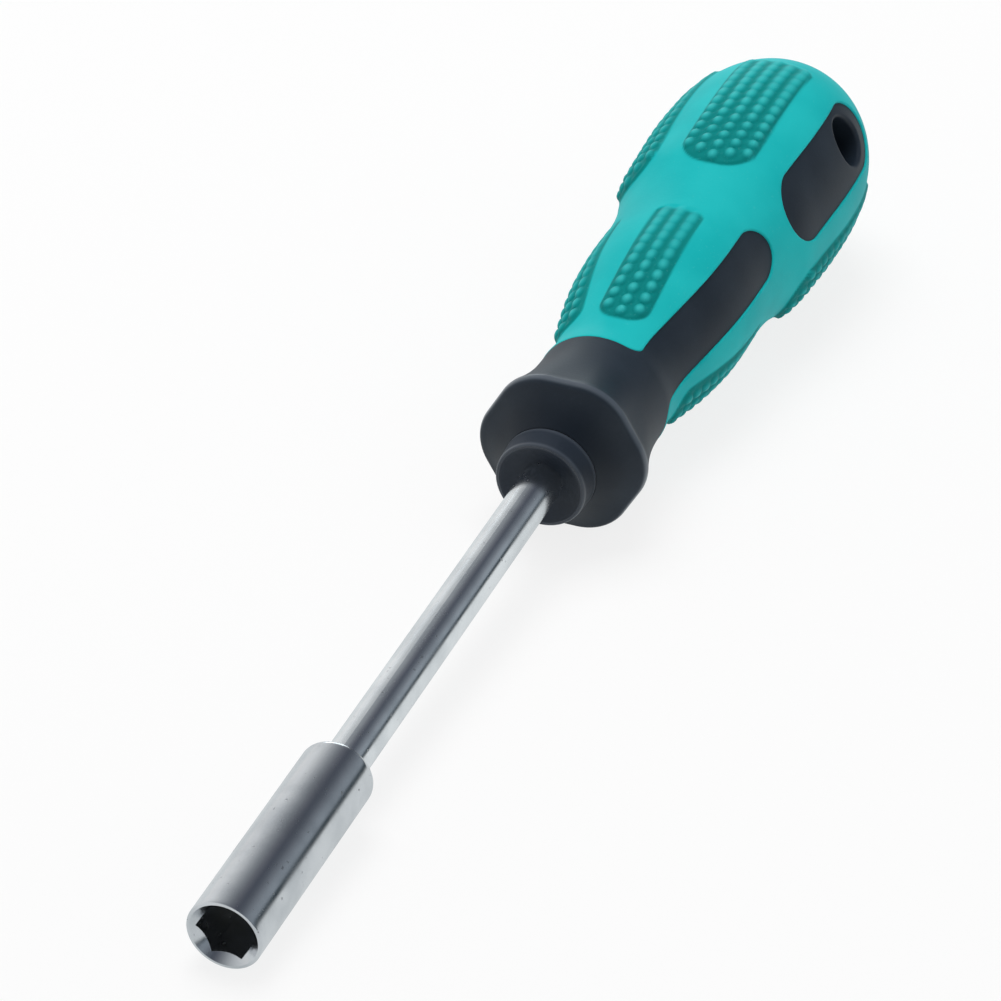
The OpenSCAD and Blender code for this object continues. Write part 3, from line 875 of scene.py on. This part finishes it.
def floor(grip):
    """A plain pale floor that the tool lies on. It starts at the lowest point of the socket's mouth, and its
    slope is the one that just touches the grip."""
    slope = np.max((grip[:, 2] + SOCKET_R) / grip[:, 0])
    ends = (-FLOOR_REACH, FLOOR_REACH)
    corners = [(x, y, -SOCKET_R * MM + slope * x) for x in ends for y in ends]
    mesh = bpy.data.meshes.new("floor")
    mesh.from_pydata(corners, [], [(0, 2, 3, 1)])
    material = bpy.data.materials.new("pale_floor")
    material.use_nodes = True
    tree = material.node_tree
    tree.nodes.remove(tree.nodes["Principled BSDF"])
    start = Socket(tree)
    seen = ray(start, "Camera").either(ray(start, "Glossy")).either(ray(start, "Transmission"))
    matt = start.node("ShaderNodeBsdfDiffuse", None, {"Color": colour(*FLOOR_PALE)})
    tone = ray(start, "Glossy").mix(WHITE, FLOOR_IN_GLOSS)
    glow = start.node("ShaderNodeEmission", None, {"Color": tone, "Strength": 1.0})
    blend = start.node("ShaderNodeMixShader", None, {0: seen * FLOOR_GLOW, 1: matt, 2: glow})
    tree.links.new(blend.out, tree.nodes["Material Output"].inputs["Surface"])
    mesh.materials.append(material)
    made = bpy.data.objects.new("floor", mesh)
    bpy.context.scene.collection.objects.link(made)


def world():
    """White to the camera, a soft grey to matt surfaces, and the room to gloss."""
    made = bpy.data.worlds.new("studio")
    bpy.context.scene.world = made
    made.use_nodes = True
    tree = made.node_tree
    start = Socket(tree)
    way = start.node("ShaderNodeTexCoord", output="Generated")
    across = start.node("ShaderNodeSeparateXYZ", None, {0: way}, output="Y")
    height = start.node("ShaderNodeSeparateXYZ", None, {0: way}, output="Z")
    turn = start.math("ARCTAN2", across, height) * (0.5 / math.pi) + 0.5
    room = start.node("ShaderNodeValToRGB", {"stops": ROOM}, {0: turn})
    lit = ray(start, "Glossy").mix(ROOM_SOFT, room)
    seen = ray(start, "Camera").either(ray(start, "Transmission"))
    tree.links.new(seen.mix(lit, WHITE).out, tree.nodes["Background"].inputs["Color"])


def lamp(name, place, size, power, tint=(1.0, 1.0, 1.0), shiny=False):
    """A soft box that faces the middle of the tool, in metres and watts. Gloss shows it if it is shiny."""
    light = bpy.data.lights.new(name, "AREA")
    light.color = tint
    light.shape = "RECTANGLE"
    light.size, light.size_y = size
    light.energy = power
    made = bpy.data.objects.new(name, light)
    made.location = place
    made.rotation_euler = (Vector(TOOL_MIDDLE) - Vector(place)).to_track_quat("-Z", "Y").to_euler()
    made.visible_camera = False
    made.visible_glossy = shiny
    bpy.context.scene.collection.objects.link(made)


def camera():
    """The photograph's camera, level, with its lens from the focal length in pixels."""
    azimuth, elevation = math.radians(CAMERA_AZIMUTH), math.radians(CAMERA_ELEVATION)
    data = bpy.data.cameras.new("photo_camera")
    data.lens = FOCAL_PX / FRAME_PX * data.sensor_width
    made = bpy.data.objects.new("photo_camera", data)
    made.location = CAMERA_PLACE
    level = math.cos(elevation)
    look = Vector((level * math.cos(azimuth), level * math.sin(azimuth), math.sin(elevation)))
    made.rotation_euler = look.to_track_quat("-Z", "Y").to_euler()
    bpy.context.scene.collection.objects.link(made)
    bpy.context.scene.camera = made


# The pieces
grip_points, grip_faces, grip_trough_shade, grip_top = soft_grip_mesh()
piece("soft_grip_teal", grip_points, grip_faces, "soft_grip", "grip_rubber", teal_rubber(),
      trough=grip_trough_shade, top=grip_top)
body_points, body_faces, body_crest = handle_body_mesh()
piece("handle_body_dark", body_points, body_faces, "handle_body", "body_plastic",
      dark_plastic("body_plastic", BODY_DARK), crest=body_crest)
core_points, core_faces, core_crest = inner_core_mesh()
piece("inner_core_boss", core_points, core_faces, "inner_core", "core_plastic",
      dark_plastic("core_plastic", CORE_DARK), sharp=35, crest=core_crest)
socket_points, socket_faces = bit_socket_mesh()
piece("bit_socket_sleeve", socket_points, socket_faces, "bit_socket", "socket_chrome",
      chrome("socket_chrome", SOCKET_BRIGHT, SOCKET_DULLED), sharp=28)
for node, material in (("shaft", chrome("bar_chrome", BAR_BRIGHT, BAR_DULLED)), ("magnet", nickel())):
    shown = frame["nodes"][node]
    shown.data.materials.clear()
    shown.data.materials.append(material)

# The stage
floor(grip_points)
world()
lamp("key_box", (-0.35, -0.2, 0.85), size=(0.6, 0.6), power=5.6)
lamp("fill_box", (-0.1, 0.9, 0.5), size=(0.7, 0.7), power=0.75, tint=(0.88, 0.95, 1.0))
lamp("rim_box", (-1.15, -0.44, 0.16), size=(0.5, 0.3), power=0.85, tint=(0.84, 0.96, 1.0), shiny=True)
camera()
bpy.context.scene.view_settings.view_transform = "Standard"
